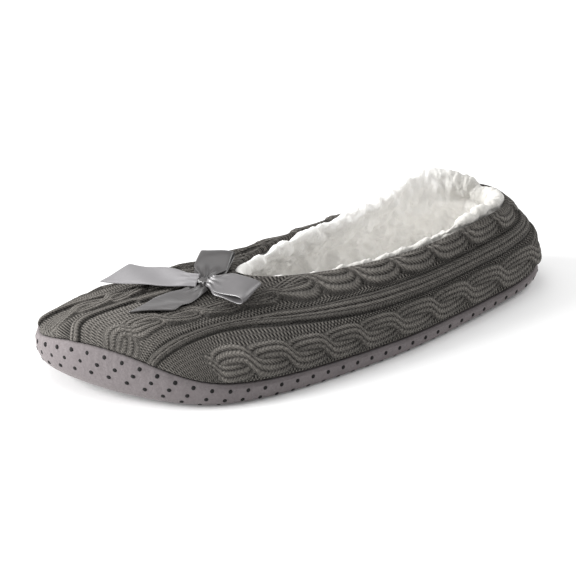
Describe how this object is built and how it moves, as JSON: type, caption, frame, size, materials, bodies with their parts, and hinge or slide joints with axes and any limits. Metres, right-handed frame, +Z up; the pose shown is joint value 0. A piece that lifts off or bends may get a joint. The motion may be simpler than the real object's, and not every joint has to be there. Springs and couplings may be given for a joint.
{
  "type": "knit house slipper",
  "caption": "Left-foot slip-on house slipper: low cable-knit upper with an open collar, deep fleece lining and footbed, soft cupped fabric sole and a satin ribbon bow.",
  "frame": {"origin": "on the floor under the middle of the shoe's box", "axes": "+X from heel to toe, +Y to the outer (lateral) side of the left foot, +Z up"},
  "size_m": [0.2462, 0.0994, 0.0467],
  "materials": {
    "grey_knit": "thick cable knit in warm charcoal grey yarn, matte",
    "white_fleece": "deep curly off-white fleece, matte",
    "sole_suedecloth": "brushed grey-mauve suede-look cloth with black rubber grip dots, matte",
    "grey_satin": "grey satin ribbon, soft sheen"
  },
  "bodies": {
    "root": {"sole": "sole_suedecloth", "footbed": "white_fleece", "upper": "grey_knit", "fleece_lining": "white_fleece", "bow_knot": "grey_satin", "bow_loop_lateral": "grey_satin", "bow_loop_medial": "grey_satin", "bow_tail_medial": "grey_satin", "bow_tail_toe": "grey_satin"}
  },
  "joints": []
}
